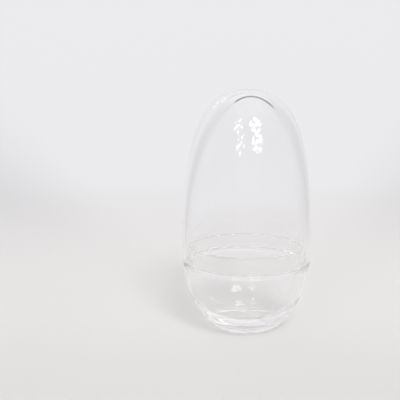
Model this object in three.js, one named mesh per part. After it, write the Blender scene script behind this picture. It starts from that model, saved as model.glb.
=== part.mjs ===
// Mini greenhouse pot: an egg of clear blown glass that parts at its waist.
// The bowl holds the soil and the plant, and the dome stands on the bowl's ledge and lifts off.
// Sizes are in millimetres, with +Z up and the origin at the centre of the foot's underside.

import * as THREE from 'three';

// The closed egg
const overallHeight = 204;
const overallWidth = 110;

// Bowl: a round-bottomed pot with a ledge at the waist and an upright neck inside it
const ledgeHeight = 58.2;
const footWidth = 50;
const baseThickness = 4.2;
const bowlWall = 5;
const cavityWidestDrop = 5.5;
const neckHeight = 13.8;
const neckWall = 2.8;
const throatDrop = 0.2;

// Dome: a tall cover whose wall grows into a thick crown
const domeWall = 3.3;
const crownThickness = 9.3;

// How the two pieces meet
const neckClearance = 2.1;
const domeOverhang = 0.8;

// Rounded edges
const shoulderRound = 1;
const neckRootRound = 0.4;
const domeEdgeRound = 0.3;

// Shape of each long curve: the share of its height and of its width that it keeps before it turns
const domeOutside = { uprightShare: 0.667, flatShare: 0.813 };
const domeInside = { uprightShare: 0.666, flatShare: 0.604 };
const bowlOutside = { uprightShare: 0.43, flatShare: 0.58 };
const bowlInside = { uprightShare: 0.54, flatShare: 0.79 };
const footTurnHeight = 1.4;

// Fineness of the faceted surfaces
const sides = 60;
const curveSteps = 14;
const shortCurveSteps = 5;
const roundSteps = 3;
const samePoint = 0.001;

// Radii and heights that follow from the sizes above
const domeRadius = overallWidth / 2;
const domeInnerRadius = domeRadius - domeWall;
const domeInnerTop = overallHeight - crownThickness;
const ledgeRadius = domeRadius - domeOverhang;
const neckRadius = domeInnerRadius - neckClearance;
const neckInnerRadius = neckRadius - neckWall;
const rimHeight = ledgeHeight + neckHeight;
const throatHeight = ledgeHeight - throatDrop;
const footRadius = footWidth / 2;

const glass = { color: 0xe9efee, roughness: 0.04, metalness: 0, transparent: true, opacity: 0.35 };

// Outlines are walked with the glass on the left, as points of radius and height.
// A long curve leaves its first point towards the second, and comes to its last from the third.
function curve(from, towards, arriving, to, steps) {
  const corners = [from, towards, arriving, to].map(([x, y]) => new THREE.Vector2(x, y));
  return new THREE.CubicBezierCurve(...corners).getPoints(steps);
}

// A rounded edge or root, clockwise where the angle falls
function round([centreX, centreY], radius, fromDegrees, toDegrees, steps = roundSteps) {
  const start = THREE.MathUtils.degToRad(fromDegrees);
  const end = THREE.MathUtils.degToRad(toDegrees);
  return new THREE.EllipseCurve(centreX, centreY, radius, radius, start, end, toDegrees < fromDegrees)
    .getPoints(steps);
}

function corner(x, y) {
  return [new THREE.Vector2(x, y)];
}

// Stretches end to end, with straight walls between those that don't meet
function joined(...stretches) {
  const points = stretches.flat();
  return points.filter((point, i) => i === 0 || point.distanceTo(points[i - 1]) > samePoint);
}

// Radius of a wall at a height, between the two outline points around it
function radiusAt(wall, height) {
  const above = wall.findIndex((point) => point.y >= height);
  const low = wall[above - 1];
  const high = wall[above];
  return THREE.MathUtils.mapLinear(height, low.y, high.y, low.x, high.x);
}

function bowlOutline() {
  const shoulder = [ledgeRadius, ledgeHeight - shoulderRound];
  const footTurn = footRadius + (ledgeRadius - footRadius) * (1 - bowlOutside.flatShare);
  const outerWall = curve(
    [footRadius, 0],
    [footTurn, footTurnHeight],
    [ledgeRadius, shoulder[1] * (1 - bowlOutside.uprightShare)],
    shoulder,
    curveSteps,
  );

  const cavityWidestHeight = ledgeHeight - cavityWidestDrop;
  const cavityWidest = [radiusAt(outerWall, cavityWidestHeight) - bowlWall, cavityWidestHeight];
  const throat = [neckInnerRadius, throatHeight];
  const throatTurn = (throat[1] - cavityWidest[1]) / 2;
  const throatCurve = curve(
    throat,
    [throat[0], throat[1] - throatTurn],
    [cavityWidest[0], cavityWidest[1] + throatTurn],
    cavityWidest,
    shortCurveSteps,
  );
  const innerWall = curve(
    cavityWidest,
    [cavityWidest[0], cavityWidest[1] - (cavityWidest[1] - baseThickness) * bowlInside.uprightShare],
    [cavityWidest[0] * bowlInside.flatShare, baseThickness],
    [0, baseThickness],
    curveSteps,
  );

  const rimRound = neckWall / 2;
  return joined(
    corner(0, 0),
    outerWall,
    round([ledgeRadius - shoulderRound, shoulder[1]], shoulderRound, 0, 90, 2 * roundSteps),
    round([neckRadius + neckRootRound, ledgeHeight + neckRootRound], neckRootRound, 270, 180),
    round([neckRadius - rimRound, rimHeight - rimRound], rimRound, 0, 180, 2 * roundSteps),
    throatCurve,
    innerWall,
  );
}

function domeOutline() {
  const edgeTop = ledgeHeight + domeEdgeRound;
  const outerRise = overallHeight - edgeTop;
  const innerRise = domeInnerTop - edgeTop;
  const innerWall = curve(
    [0, domeInnerTop],
    [domeInnerRadius * domeInside.flatShare, domeInnerTop],
    [domeInnerRadius, edgeTop + innerRise * domeInside.uprightShare],
    [domeInnerRadius, edgeTop],
    curveSteps,
  );
  const outerWall = curve(
    [domeRadius, edgeTop],
    [domeRadius, edgeTop + outerRise * domeOutside.uprightShare],
    [domeRadius * domeOutside.flatShare, overallHeight],
    [0, overallHeight],
    curveSteps,
  );
  return joined(
    innerWall,
    round([domeInnerRadius + domeEdgeRound, edgeTop], domeEdgeRound, 180, 270),
    round([domeRadius - domeEdgeRound, edgeTop], domeEdgeRound, 270, 360),
    outerWall,
  );
}

// A piece turned about the vertical axis
function turned(name, outline) {
  const geometry = new THREE.LatheGeometry(outline, sides);
  geometry.rotateX(Math.PI / 2);
  const mesh = new THREE.Mesh(geometry, new THREE.MeshStandardMaterial(glass));
  mesh.name = name;
  return mesh;
}

const greenhouse = new THREE.Group();
greenhouse.name = 'mini_greenhouse_pot';
greenhouse.add(turned('bowl', bowlOutline()), turned('dome', domeOutline()));

export default greenhouse;
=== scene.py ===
import math

import bpy
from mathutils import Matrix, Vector
from mathutils.geometry import interpolate_bezier


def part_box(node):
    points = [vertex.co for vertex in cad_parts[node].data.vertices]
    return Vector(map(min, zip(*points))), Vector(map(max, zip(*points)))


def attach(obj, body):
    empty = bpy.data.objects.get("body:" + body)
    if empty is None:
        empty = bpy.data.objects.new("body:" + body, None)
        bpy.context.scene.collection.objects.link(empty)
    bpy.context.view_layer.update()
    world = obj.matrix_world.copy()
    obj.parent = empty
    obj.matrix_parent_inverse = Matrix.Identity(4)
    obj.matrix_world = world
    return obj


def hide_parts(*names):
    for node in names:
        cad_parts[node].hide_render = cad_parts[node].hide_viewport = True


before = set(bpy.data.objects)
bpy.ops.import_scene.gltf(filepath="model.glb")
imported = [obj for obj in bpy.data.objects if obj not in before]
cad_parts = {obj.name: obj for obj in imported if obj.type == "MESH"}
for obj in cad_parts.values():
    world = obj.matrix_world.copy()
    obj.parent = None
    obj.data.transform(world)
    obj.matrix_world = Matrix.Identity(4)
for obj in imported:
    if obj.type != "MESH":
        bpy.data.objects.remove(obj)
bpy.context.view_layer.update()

millimetre = 0.001
samePoint = 0.00001  # outline points closer than this are one
mergeDistance = 0.000005  # closes the spun seam and the poles

_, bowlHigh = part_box("bowl")
domeLow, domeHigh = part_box("dome")


# Where the camera stands, from the photograph: lens in pixels of the frame, places in metres, tilt in degrees
viewpoint = {
    "lensPixels": 650,
    "framePixels": 400,
    "sensorWidth": 36,
    "toTheLeft": 0.0398,
    "distance": 0.5477,
    "height": 0.2037,
    "lookDown": 9.7,
}


def addCamera():
    cameraData = bpy.data.cameras.new("photoCamera")
    cameraData.sensor_width = viewpoint["sensorWidth"]
    cameraData.lens = cameraData.sensor_width * viewpoint["lensPixels"] / viewpoint["framePixels"]
    camera = bpy.data.objects.new("photoCamera", cameraData)
    camera.location = (-viewpoint["toTheLeft"], -viewpoint["distance"], viewpoint["height"])
    camera.rotation_euler = (math.radians(90 - viewpoint["lookDown"]), 0, 0)
    bpy.context.scene.collection.objects.link(camera)
    bpy.context.scene.camera = camera
    print("camera set")


# Outlines of the glass, as points of radius and height in metres, walked with the glass on the left

def longCurve(start, leaving, arriving, end, steps):
    corners = [Vector((x, 0, z)) for x, z in (start, leaving, arriving, end)]
    return interpolate_bezier(*corners, steps)


def roundEdge(centre, radius, fromDegrees, toDegrees, steps):
    points = []
    for i in range(steps + 1):
        angle = math.radians(fromDegrees + (toDegrees - fromDegrees) * i / steps)
        across = centre[0] + radius * math.cos(angle)
        points.append(Vector((across, 0, centre[1] + radius * math.sin(angle))))
    return points


def joined(*stretches):
    points = []
    for stretch in stretches:
        for point in stretch:
            if not points or (point - points[-1]).length > samePoint:
                points.append(point)
    return points


# A glass piece, drawn as an outline from one point and spun round the upright axis
def spunGlass(name, outline, spinSteps):
    bpy.ops.object.select_all(action="DESELECT")
    bpy.ops.mesh.primitive_plane_add(size=millimetre)
    piece = bpy.context.object
    piece.name = name
    piece.data.name = name
    bpy.ops.object.mode_set(mode="EDIT")
    bpy.ops.mesh.select_all(action="SELECT")
    bpy.ops.mesh.merge(type="CENTER")
    bpy.ops.transform.translate(value=outline[0])
    for here, there in zip(outline, outline[1:]):
        bpy.ops.mesh.extrude_region_move(TRANSFORM_OT_translate={"value": there - here})
    bpy.ops.mesh.select_all(action="SELECT")
    bpy.ops.mesh.spin(steps=spinSteps, angle=math.tau, center=(0, 0, 0), axis=(0, 0, 1))
    bpy.ops.mesh.select_all(action="SELECT")
    bpy.ops.mesh.remove_doubles(threshold=mergeDistance)
    bpy.ops.mesh.normals_make_consistent(inside=False)
    bpy.ops.object.mode_set(mode="OBJECT")
    bpy.ops.object.shade_smooth()
    print(name, "spun with", len(piece.data.vertices), "points")
    return piece


# Hand-blown glass is never quite even, so the cavity's end sits a little to one side
def leanCavity(piece, endHeight, lean, reach):
    bpy.ops.object.mode_set(mode="EDIT")
    bpy.ops.mesh.select_all(action="DESELECT")
    bpy.ops.object.mode_set(mode="OBJECT")
    for vertex in piece.data.vertices:
        onAxis = math.hypot(vertex.co.x, vertex.co.y) < samePoint
        vertex.select = onAxis and abs(vertex.co.z - endHeight) < samePoint
    bpy.ops.object.mode_set(mode="EDIT")
    bpy.ops.transform.translate(
        value=(lean, 0, 0),
        use_proportional_edit=True,
        use_proportional_connected=True,
        proportional_edit_falloff="SMOOTH",
        proportional_size=reach,
    )
    bpy.ops.object.mode_set(mode="OBJECT")


# The long curves are given by the share of their height and of their width that they keep before they turn
bowlSizes = {
    "footRadius": 0.025,
    "footTurnHeight": 0.0014,
    "baseThickness": 0.0042,
    "wall": 0.005,
    "cavityWidestDrop": 0.0055,
    "neckHeight": 0.0138,
    "neckRadius": 0.0496,  # leaves the dome about 2 mm of play
    "neckWall": 0.0028,
    "throatDrop": 0.0002,
    "shoulderRound": 0.001,
    "neckRootRound": 0.0004,
    "outsideUpright": 0.43,
    "outsideFlat": 0.58,
    "insideUpright": 0.54,
    "insideFlat": 0.79,
    "cavityLean": -0.0021,
    "leanReach": 0.1,
    "shoulderSteps": 12,
    "neckRootSteps": 8,
    "rimSteps": 16,
    "throatSteps": 16,
    "curveSteps": 60,
    "spinSteps": 192,
}


def makeBowl(glass):
    s = bowlSizes
    ledgeRadius = bowlHigh.x
    rimHeight = bowlHigh.z
    ledgeHeight = rimHeight - s["neckHeight"]
    shoulderHeight = ledgeHeight - s["shoulderRound"]
    rootRound = s["neckRootRound"]
    footTurn = s["footRadius"] + (ledgeRadius - s["footRadius"]) * (1 - s["outsideFlat"])
    outerWall = longCurve(
        (s["footRadius"], 0),
        (footTurn, s["footTurnHeight"]),
        (ledgeRadius, shoulderHeight * (1 - s["outsideUpright"])),
        (ledgeRadius, shoulderHeight),
        s["curveSteps"],
    )
    widestHeight = ledgeHeight - s["cavityWidestDrop"]
    widest = min(outerWall, key=lambda point: abs(point.z - widestHeight)).x - s["wall"]
    neckInside = s["neckRadius"] - s["neckWall"]
    throatHeight = ledgeHeight - s["throatDrop"]
    throatTurn = (throatHeight - widestHeight) / 2
    throat = longCurve(
        (neckInside, throatHeight),
        (neckInside, throatHeight - throatTurn),
        (widest, widestHeight + throatTurn),
        (widest, widestHeight),
        s["throatSteps"],
    )
    innerWall = longCurve(
        (widest, widestHeight),
        (widest, widestHeight - (widestHeight - s["baseThickness"]) * s["insideUpright"]),
        (widest * s["insideFlat"], s["baseThickness"]),
        (0, s["baseThickness"]),
        s["curveSteps"],
    )
    rimRound = s["neckWall"] / 2
    shoulderCentre = (ledgeRadius - s["shoulderRound"], shoulderHeight)
    rootCentre = (s["neckRadius"] + rootRound, ledgeHeight + rootRound)
    rimCentre = (s["neckRadius"] - rimRound, rimHeight - rimRound)
    outline = joined(
        [Vector((0, 0, 0))],
        outerWall,
        roundEdge(shoulderCentre, s["shoulderRound"], 0, 90, s["shoulderSteps"]),
        roundEdge(rootCentre, rootRound, 270, 180, s["neckRootSteps"]),
        roundEdge(rimCentre, rimRound, 0, 180, s["rimSteps"]),
        throat,
        innerWall,
    )
    bowl = spunGlass("glassBowl", outline, s["spinSteps"])
    leanCavity(bowl, s["baseThickness"], s["cavityLean"], s["leanReach"])
    bowl.data.materials.append(glass)
    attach(bowl, "bowl")
    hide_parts("bowl")


domeSizes = {
    "wall": 0.0033,
    "crownThickness": 0.0093,
    "edgeRound": 0.0003,
    "seatGap": 0.00005,  # keeps the two faces of glass apart where the dome stands on the ledge
    "outsideUpright": 0.667,
    "outsideFlat": 0.813,
    "insideUpright": 0.666,
    "insideFlat": 0.604,
    "cavityLean": 0.0019,
    "leanReach": 0.14,
    "edgeSteps": 6,
    "curveSteps": 80,
    "spinSteps": 192,
}


def makeDome(glass):
    s = domeSizes
    radius = domeHigh.x
    innerRadius = radius - s["wall"]
    top = domeHigh.z
    innerTop = top - s["crownThickness"]
    edgeTop = domeLow.z + s["seatGap"] + s["edgeRound"]
    innerWall = longCurve(
        (0, innerTop),
        (innerRadius * s["insideFlat"], innerTop),
        (innerRadius, edgeTop + (innerTop - edgeTop) * s["insideUpright"]),
        (innerRadius, edgeTop),
        s["curveSteps"],
    )
    outerWall = longCurve(
        (radius, edgeTop),
        (radius, edgeTop + (top - edgeTop) * s["outsideUpright"]),
        (radius * s["outsideFlat"], top),
        (0, top),
        s["curveSteps"],
    )
    outline = joined(
        innerWall,
        roundEdge((innerRadius + s["edgeRound"], edgeTop), s["edgeRound"], 180, 270, s["edgeSteps"]),
        roundEdge((radius - s["edgeRound"], edgeTop), s["edgeRound"], 270, 360, s["edgeSteps"]),
        outerWall,
    )
    dome = spunGlass("glassDome", outline, s["spinSteps"])
    leanCavity(dome, innerTop, s["cavityLean"], s["leanReach"])
    dome.data.materials.append(glass)
    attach(dome, "dome")
    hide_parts("dome")


glassLook = {
    "tint": (0.996, 0.996, 0.996),
    "bend": 1.5,
    # slow waves left by the blowing, per metre across and up, and their depth in metres
    "wavesAcross": 34,
    "wavesUp": 12,
    "waveDetail": 1,
    "waveDepth": 0.00011,
    # a thin film from handling: spots per metre, where in the noise they begin and are full, and how rough
    "filmSpots": 45,
    "filmDetail": 3,
    "filmFrom": 0.45,
    "filmTo": 0.75,
    "filmRoughness": 0.05,
}


def stretchedNoise(nodes, links, position, scale, detail):
    stretch = nodes.new("ShaderNodeVectorMath")
    stretch.operation = "MULTIPLY"
    stretch.inputs[1].default_value = scale
    links.new(position, stretch.inputs[0])
    noise = nodes.new("ShaderNodeTexNoise")
    noise.inputs["Scale"].default_value = 1
    noise.inputs["Detail"].default_value = detail
    links.new(stretch.outputs[0], noise.inputs["Vector"])
    return noise.outputs["Fac"]


def clearGlass():
    g = glassLook
    glass = bpy.data.materials.new("clearGlass")
    glass.use_nodes = True
    nodes = glass.node_tree.nodes
    links = glass.node_tree.links
    shader = nodes["Principled BSDF"]
    shader.inputs["Base Color"].default_value = (*g["tint"], 1)
    shader.inputs["IOR"].default_value = g["bend"]
    shader.inputs["Transmission Weight"].default_value = 1
    place = nodes.new("ShaderNodeTexCoord")
    waveScale = (g["wavesAcross"], g["wavesAcross"], g["wavesUp"])
    waves = stretchedNoise(nodes, links, place.outputs["Object"], waveScale, g["waveDetail"])
    bump = nodes.new("ShaderNodeBump")
    bump.inputs["Distance"].default_value = g["waveDepth"]
    links.new(waves, bump.inputs["Height"])
    links.new(bump.outputs["Normal"], shader.inputs["Normal"])
    spots = stretchedNoise(nodes, links, place.outputs["Object"], (g["filmSpots"],) * 3, g["filmDetail"])
    film = nodes.new("ShaderNodeMapRange")
    film.inputs["From Min"].default_value = g["filmFrom"]
    film.inputs["From Max"].default_value = g["filmTo"]
    film.inputs["To Max"].default_value = g["filmRoughness"]
    links.new(spots, film.inputs["Value"])
    links.new(film.outputs[0], shader.inputs["Roughness"])
    return glass


stageLook = {
    "floorColour": (0.825, 0.815, 0.794),
    "floorRoughness": 0.9,
    "floorShine": 0.1,
    # painted shade on the floor: how far behind the object, and how bright the floor's colour is painted
    # there, darker towards the camera and in front as light that falls off
    "paintedFloorShade": (
        (-0.7, 0.74), (-0.3, 0.86), (-0.16, 0.93), (-0.09, 0.955), (0, 1.0), (0.15, 1.03), (0.4, 1.05),
    ),
    "floorHalfWidth": 60,
    "floorDrop": 0.0002,
    # how far out the floor begins to turn into the horizon, and where it has done so
    "fadeFrom": 0.12,
    "fadeTo": 1,
    "horizonColour": (0.835, 0.825, 0.843),
    # parts of a direction of length 1: sideways, where the tones dim, and backwards, where front turns to back
    "sideTones": {"from": 0.26, "to": 0.58, "dimmest": 0.84},
    "frontEnds": -0.3,
    "backBegins": 0.3,
    # the bands overhead run straight across and come down as arches at the sides
    "archAtSides": 0.5,
    "skyTint": (1, 0.988, 1.01),
    # degrees above the horizon, and how bright the surroundings are there
    "tonesBehind": (
        (0, 0.835), (12, 0.84), (20, 0.84), (30, 0.87), (40, 0.9),
        (56, 0.82), (72, 0.82), (80, 0.98), (90, 1.08),
    ),
    "tonesInFront": (
        (0, 0.69), (12, 0.8), (20, 0.79), (30, 0.7), (40, 0.55),
        (56, 0.55), (64, 0.8), (72, 0.95), (90, 1.05),
    ),
}


def directionParts(nodes, links, direction):
    turned = nodes.new("ShaderNodeVectorMath")
    turned.operation = "NORMALIZE"
    links.new(direction, turned.inputs[0])
    parts = nodes.new("ShaderNodeSeparateXYZ")
    links.new(turned.outputs[0], parts.inputs[0])
    return parts


# The surroundings are dimmer to the left and right, which draws the edges of the glass
def sideTone(nodes, links, direction):
    parts = directionParts(nodes, links, direction)
    sideways = nodes.new("ShaderNodeMath")
    sideways.operation = "ABSOLUTE"
    links.new(parts.outputs["X"], sideways.inputs[0])
    tone = nodes.new("ShaderNodeMapRange")
    tone.interpolation_type = "SMOOTHSTEP"
    tone.inputs["From Min"].default_value = stageLook["sideTones"]["from"]
    tone.inputs["From Max"].default_value = stageLook["sideTones"]["to"]
    tone.inputs["To Min"].default_value = 1
    tone.inputs["To Max"].default_value = stageLook["sideTones"]["dimmest"]
    links.new(sideways.outputs[0], tone.inputs["Value"])
    return tone.outputs[0]


# 1 for a ray that the camera sends, also one that glass has mirrored or let through
def seenRay(nodes, links):
    path = nodes.new("ShaderNodeLightPath")
    mirrored = nodes.new("ShaderNodeMath")
    mirrored.operation = "MAXIMUM"
    links.new(path.outputs["Is Camera Ray"], mirrored.inputs[0])
    links.new(path.outputs["Is Glossy Ray"], mirrored.inputs[1])
    seen = nodes.new("ShaderNodeMath")
    seen.operation = "MAXIMUM"
    links.new(mirrored.outputs[0], seen.inputs[0])
    links.new(path.outputs["Is Transmission Ray"], seen.inputs[1])
    return seen.outputs[0]


# Painted shade: the floor's colour is a little darker towards the camera, as where the light comes from behind
def paintFloorShade(nodes, links, position):
    parts = nodes.new("ShaderNodeSeparateXYZ")
    links.new(position, parts.inputs[0])
    steps = stageLook["paintedFloorShade"]
    nearest, farthest = steps[0][0], steps[-1][0]
    share = nodes.new("ShaderNodeMapRange")
    share.inputs["From Min"].default_value = nearest
    share.inputs["From Max"].default_value = farthest
    links.new(parts.outputs["Y"], share.inputs["Value"])
    ramp = nodes.new("ShaderNodeValToRGB")
    tones = ramp.color_ramp.elements
    colours = [(*[channel * tone for channel in stageLook["floorColour"]], 1) for _, tone in steps]
    tones[0].color = colours[0]
    tones[1].color = colours[-1]
    for (behind, _), colour in zip(steps[1:-1], colours[1:-1]):
        tones.new((behind - nearest) / (farthest - nearest)).color = colour
    links.new(share.outputs[0], ramp.inputs["Fac"])
    return ramp.outputs["Color"]


# How far a direction points backwards: 0 in front of the object and 1 behind it
def backShare(nodes, links, direction):
    parts = directionParts(nodes, links, direction)
    share = nodes.new("ShaderNodeMapRange")
    share.interpolation_type = "SMOOTHSTEP"
    share.inputs["From Min"].default_value = stageLook["frontEnds"]
    share.inputs["From Max"].default_value = stageLook["backBegins"]
    links.new(parts.outputs["Y"], share.inputs["Value"])
    return share.outputs[0]


# The horizon is dimmer in front, where the glass mirrors it
def horizonTone(nodes, links, direction):
    inFront, behind = stageLook["tonesInFront"][0][1], stageLook["tonesBehind"][0][1]
    tone = nodes.new("ShaderNodeMapRange")
    tone.inputs["To Min"].default_value = inFront / behind
    links.new(backShare(nodes, links, direction), tone.inputs["Value"])
    return tone.outputs[0]


# The floor runs out into the backdrop's colour, so no edge or horizon shows
def floorPaint():
    paint = bpy.data.materials.new("paleFloorPaint")
    paint.use_nodes = True
    nodes = paint.node_tree.nodes
    links = paint.node_tree.links
    shader = nodes["Principled BSDF"]
    shader.inputs["Roughness"].default_value = stageLook["floorRoughness"]
    shader.inputs["Specular IOR Level"].default_value = stageLook["floorShine"]
    place = nodes.new("ShaderNodeTexCoord")
    # the floor's colour carries the painted shade, darker towards the camera
    links.new(paintFloorShade(nodes, links, place.outputs["Object"]), shader.inputs["Base Color"])
    reach = nodes.new("ShaderNodeVectorMath")
    reach.operation = "LENGTH"
    links.new(place.outputs["Object"], reach.inputs[0])
    fade = nodes.new("ShaderNodeMapRange")
    fade.interpolation_type = "SMOOTHSTEP"
    fade.inputs["From Min"].default_value = stageLook["fadeFrom"]
    fade.inputs["From Max"].default_value = stageLook["fadeTo"]
    links.new(reach.outputs["Value"], fade.inputs["Value"])
    share = nodes.new("ShaderNodeMath")
    share.operation = "MULTIPLY"
    links.new(fade.outputs[0], share.inputs[0])
    links.new(seenRay(nodes, links), share.inputs[1])
    backdrop = nodes.new("ShaderNodeEmission")
    backdrop.inputs["Color"].default_value = (*stageLook["horizonColour"], 1)
    dimming = nodes.new("ShaderNodeMath")
    dimming.operation = "MULTIPLY"
    links.new(sideTone(nodes, links, place.outputs["Object"]), dimming.inputs[0])
    links.new(horizonTone(nodes, links, place.outputs["Object"]), dimming.inputs[1])
    links.new(dimming.outputs[0], backdrop.inputs["Strength"])
    mix = nodes.new("ShaderNodeMixShader")
    links.new(share.outputs[0], mix.inputs["Fac"])
    links.new(shader.outputs[0], mix.inputs[1])
    links.new(backdrop.outputs[0], mix.inputs[2])
    links.new(mix.outputs[0], nodes["Material Output"].inputs["Surface"])
    return paint


def addStage():
    bpy.ops.object.select_all(action="DESELECT")
    bpy.ops.mesh.primitive_plane_add(size=2 * stageLook["floorHalfWidth"])
    floor = bpy.context.object
    floor.name = "floor"
    bpy.ops.object.mode_set(mode="EDIT")
    bpy.ops.mesh.select_all(action="SELECT")
    bpy.ops.transform.translate(value=(0, 0, -stageLook["floorDrop"]))
    bpy.ops.object.mode_set(mode="OBJECT")
    floor.data.materials.append(floorPaint())
    print("floor laid")


# Tones by height above the horizon, which share gives as 0 at the horizon and 1 overhead
def risingRamp(nodes, links, share, steps):
    ramp = nodes.new("ShaderNodeValToRGB")
    tones = ramp.color_ramp.elements
    colours = [(*[channel * tone for channel in stageLook["skyTint"]], 1) for _, tone in steps]
    tones[0].color = colours[0]
    tones[1].color = colours[-1]
    for (degrees, _), colour in zip(steps[1:-1], colours[1:-1]):
        tones.new(degrees / 90).color = colour
    links.new(share, ramp.inputs["Fac"])
    return ramp.outputs["Color"]


# One dim bar across, high up behind the object: the thick crown gathers it into a thin dark arc.
# Its height is in degrees, and its length in shares of a direction of length 1.
darkBar = {
    "from": 46.5,
    "to": 55.5,
    "softness": 2.5,
    "depth": 0.66,
    "centre": 0.075,
    "reach": 0.41,
    "endSoftness": 0.1,
}


def barTone(nodes, links, degreesUp, sideways):
    b = darkBar
    below = nodes.new("ShaderNodeMapRange")
    below.interpolation_type = "SMOOTHSTEP"
    below.inputs["From Min"].default_value = b["from"]
    below.inputs["From Max"].default_value = b["from"] + b["softness"]
    links.new(degreesUp, below.inputs["Value"])
    above = nodes.new("ShaderNodeMapRange")
    above.interpolation_type = "SMOOTHSTEP"
    above.inputs["From Min"].default_value = b["to"]
    above.inputs["From Max"].default_value = b["to"] - b["softness"]
    links.new(degreesUp, above.inputs["Value"])
    offset = nodes.new("ShaderNodeMath")
    offset.operation = "SUBTRACT"
    offset.inputs[1].default_value = b["centre"]
    links.new(sideways, offset.inputs[0])
    away = nodes.new("ShaderNodeMath")
    away.operation = "ABSOLUTE"
    links.new(offset.outputs[0], away.inputs[0])
    ends = nodes.new("ShaderNodeMapRange")
    ends.interpolation_type = "SMOOTHSTEP"
    ends.inputs["From Min"].default_value = b["reach"] + b["endSoftness"]
    ends.inputs["From Max"].default_value = b["reach"]
    links.new(away.outputs[0], ends.inputs["Value"])
    bar = nodes.new("ShaderNodeMath")
    bar.operation = "MULTIPLY"
    links.new(below.outputs[0], bar.inputs[0])
    links.new(above.outputs[0], bar.inputs[1])
    ended = nodes.new("ShaderNodeMath")
    ended.operation = "MULTIPLY"
    links.new(bar.outputs[0], ended.inputs[0])
    links.new(ends.outputs[0], ended.inputs[1])
    tone = nodes.new("ShaderNodeMath")
    tone.operation = "MULTIPLY_ADD"
    tone.inputs[1].default_value = -b["depth"]
    tone.inputs[2].default_value = 1
    links.new(ended.outputs[0], tone.inputs[0])
    return tone.outputs[0]


# Pale at the horizon; behind the object it is dimmer high up, and pale again overhead
def addWorld():
    world = bpy.data.worlds.new("studio")
    bpy.context.scene.world = world
    world.use_nodes = True
    nodes = world.node_tree.nodes
    links = world.node_tree.links
    direction = nodes.new("ShaderNodeTexCoord")
    parts = nodes.new("ShaderNodeSeparateXYZ")
    links.new(direction.outputs["Generated"], parts.inputs[0])
    level = nodes.new("ShaderNodeVectorMath")
    level.operation = "MULTIPLY"
    level.inputs[1].default_value = (stageLook["archAtSides"], 1, 0)
    links.new(direction.outputs["Generated"], level.inputs[0])
    depth = nodes.new("ShaderNodeVectorMath")
    depth.operation = "LENGTH"
    links.new(level.outputs[0], depth.inputs[0])
    rise = nodes.new("ShaderNodeMath")
    rise.operation = "ARCTAN2"
    links.new(parts.outputs["Z"], rise.inputs[0])
    links.new(depth.outputs["Value"], rise.inputs[1])
    share = nodes.new("ShaderNodeMath")
    share.operation = "DIVIDE"
    share.inputs[1].default_value = math.pi / 2
    links.new(rise.outputs[0], share.inputs[0])
    mix = nodes.new("ShaderNodeMix")
    mix.data_type = "RGBA"
    links.new(backShare(nodes, links, direction.outputs["Generated"]), mix.inputs["Factor"])
    inFront = risingRamp(nodes, links, share.outputs[0], stageLook["tonesInFront"])
    links.new(inFront, mix.inputs["A"])
    degreesUp = nodes.new("ShaderNodeMath")
    degreesUp.operation = "MULTIPLY"
    degreesUp.inputs[1].default_value = 90
    links.new(share.outputs[0], degreesUp.inputs[0])
    barred = nodes.new("ShaderNodeVectorMath")
    barred.operation = "SCALE"
    behind = risingRamp(nodes, links, share.outputs[0], stageLook["tonesBehind"])
    links.new(behind, barred.inputs[0])
    links.new(barTone(nodes, links, degreesUp.outputs[0], parts.outputs["X"]), barred.inputs["Scale"])
    links.new(barred.outputs[0], mix.inputs["B"])
    background = nodes["Background"]
    links.new(mix.outputs["Result"], background.inputs["Color"])
    links.new(sideTone(nodes, links, direction.outputs["Generated"]), background.inputs["Strength"])
    print("surroundings set")


# Soft lamps where their mirrored patches show in the photograph: two in front, and one behind on the left.
# Azimuth runs from straight in front towards the right, and sizes are angles seen from the object, in degrees.
windowLamps = {
    "aimHeight": 0.16,
    "distance": 3,
    # the ground between the flecks, how softly they end, and how uneven they lie
    "shade": 0.05,
    "fleckEdge": 0.12,
    "fleckRandomness": 0.8,
    "right": {
        "azimuth": 18.5, "elevation": 45, "wide": 32, "tall": 20, "radiance": 19,
        "cells": (2.8, 3.6, 1), "shift": (5.3, 1.7, 0), "fleck": 0.3,
    },
    "left": {
        "azimuth": -28.5, "elevation": 43, "wide": 22, "tall": 20, "radiance": 7,
        "cells": (2.3, 3.8, 1), "shift": (0, 2.5, 0), "fleck": 0.26,
    },
    "back": {
        "azimuth": -146, "elevation": 40, "wide": 26, "tall": 24, "radiance": 1.3,
        "cells": (2.3, 4, 1), "shift": (0, 0, 0), "fleck": 0.26,
    },
}


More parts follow.
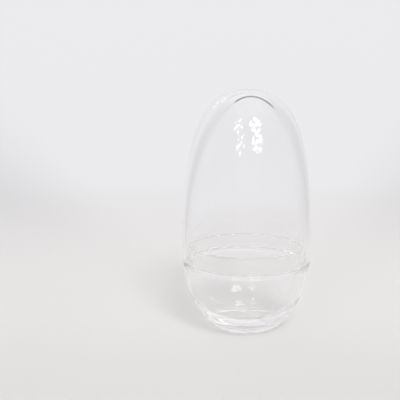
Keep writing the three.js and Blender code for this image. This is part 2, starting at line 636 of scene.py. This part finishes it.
# Dappled light: bright round flecks on a dimmer ground
def dapple(lampData, look):
    lampData.use_nodes = True
    nodes = lampData.node_tree.nodes
    links = lampData.node_tree.links
    place = nodes.new("ShaderNodeNewGeometry")
    spread = nodes.new("ShaderNodeVectorMath")
    spread.operation = "MULTIPLY_ADD"
    spread.inputs[1].default_value = look["cells"]
    spread.inputs[2].default_value = look["shift"]
    links.new(place.outputs["Parametric"], spread.inputs[0])
    flecks = nodes.new("ShaderNodeTexVoronoi")
    flecks.voronoi_dimensions = "2D"
    flecks.inputs["Scale"].default_value = 1
    flecks.inputs["Randomness"].default_value = windowLamps["fleckRandomness"]
    links.new(spread.outputs[0], flecks.inputs["Vector"])
    edge = nodes.new("ShaderNodeMapRange")
    edge.interpolation_type = "SMOOTHSTEP"
    edge.inputs["From Min"].default_value = look["fleck"]
    edge.inputs["From Max"].default_value = look["fleck"] + windowLamps["fleckEdge"]
    edge.inputs["To Min"].default_value = 1
    edge.inputs["To Max"].default_value = windowLamps["shade"]
    links.new(flecks.outputs["Distance"], edge.inputs["Value"])
    links.new(edge.outputs[0], nodes["Emission"].inputs["Strength"])


def addLamps():
    w = windowLamps
    aim = Vector((0, 0, w["aimHeight"]))
    for side in ("right", "left", "back"):
        look = w[side]
        turn = math.radians(look["azimuth"])
        rise = math.radians(look["elevation"])
        level = math.cos(rise)
        towards = Vector((math.sin(turn) * level, -math.cos(turn) * level, math.sin(rise)))
        lampData = bpy.data.lights.new(side + "Window", "AREA")
        lampData.shape = "ELLIPSE"
        lampData.size = 2 * w["distance"] * math.tan(math.radians(look["wide"] * level / 2))
        lampData.size_y = 2 * w["distance"] * math.tan(math.radians(look["tall"] / 2))
        lampData.energy = look["radiance"] * math.pi * lampData.size * lampData.size_y * math.pi / 4
        dapple(lampData, look)
        lamp = bpy.data.objects.new(side + "Window", lampData)
        lamp.location = aim + towards * w["distance"]
        lamp.rotation_euler = (-towards).to_track_quat("-Z", "Y").to_euler()
        lamp.visible_transmission = side != "back"
        bpy.context.scene.collection.objects.link(lamp)
    print("window lamps hung")


glassBounces = 96  # fewer leave black spots where the light runs round in the glass

addCamera()
glass = clearGlass()
makeBowl(glass)
makeDome(glass)
addStage()
addWorld()
addLamps()
bpy.context.scene.view_settings.view_transform = "Standard"
bpy.context.scene.cycles.max_bounces = glassBounces
bpy.context.scene.cycles.transmission_bounces = glassBounces
bpy.context.scene.cycles.glossy_bounces = glassBounces
bpy.context.scene.cycles.blur_glossy = 0  # the mirrored flecks stay sharp
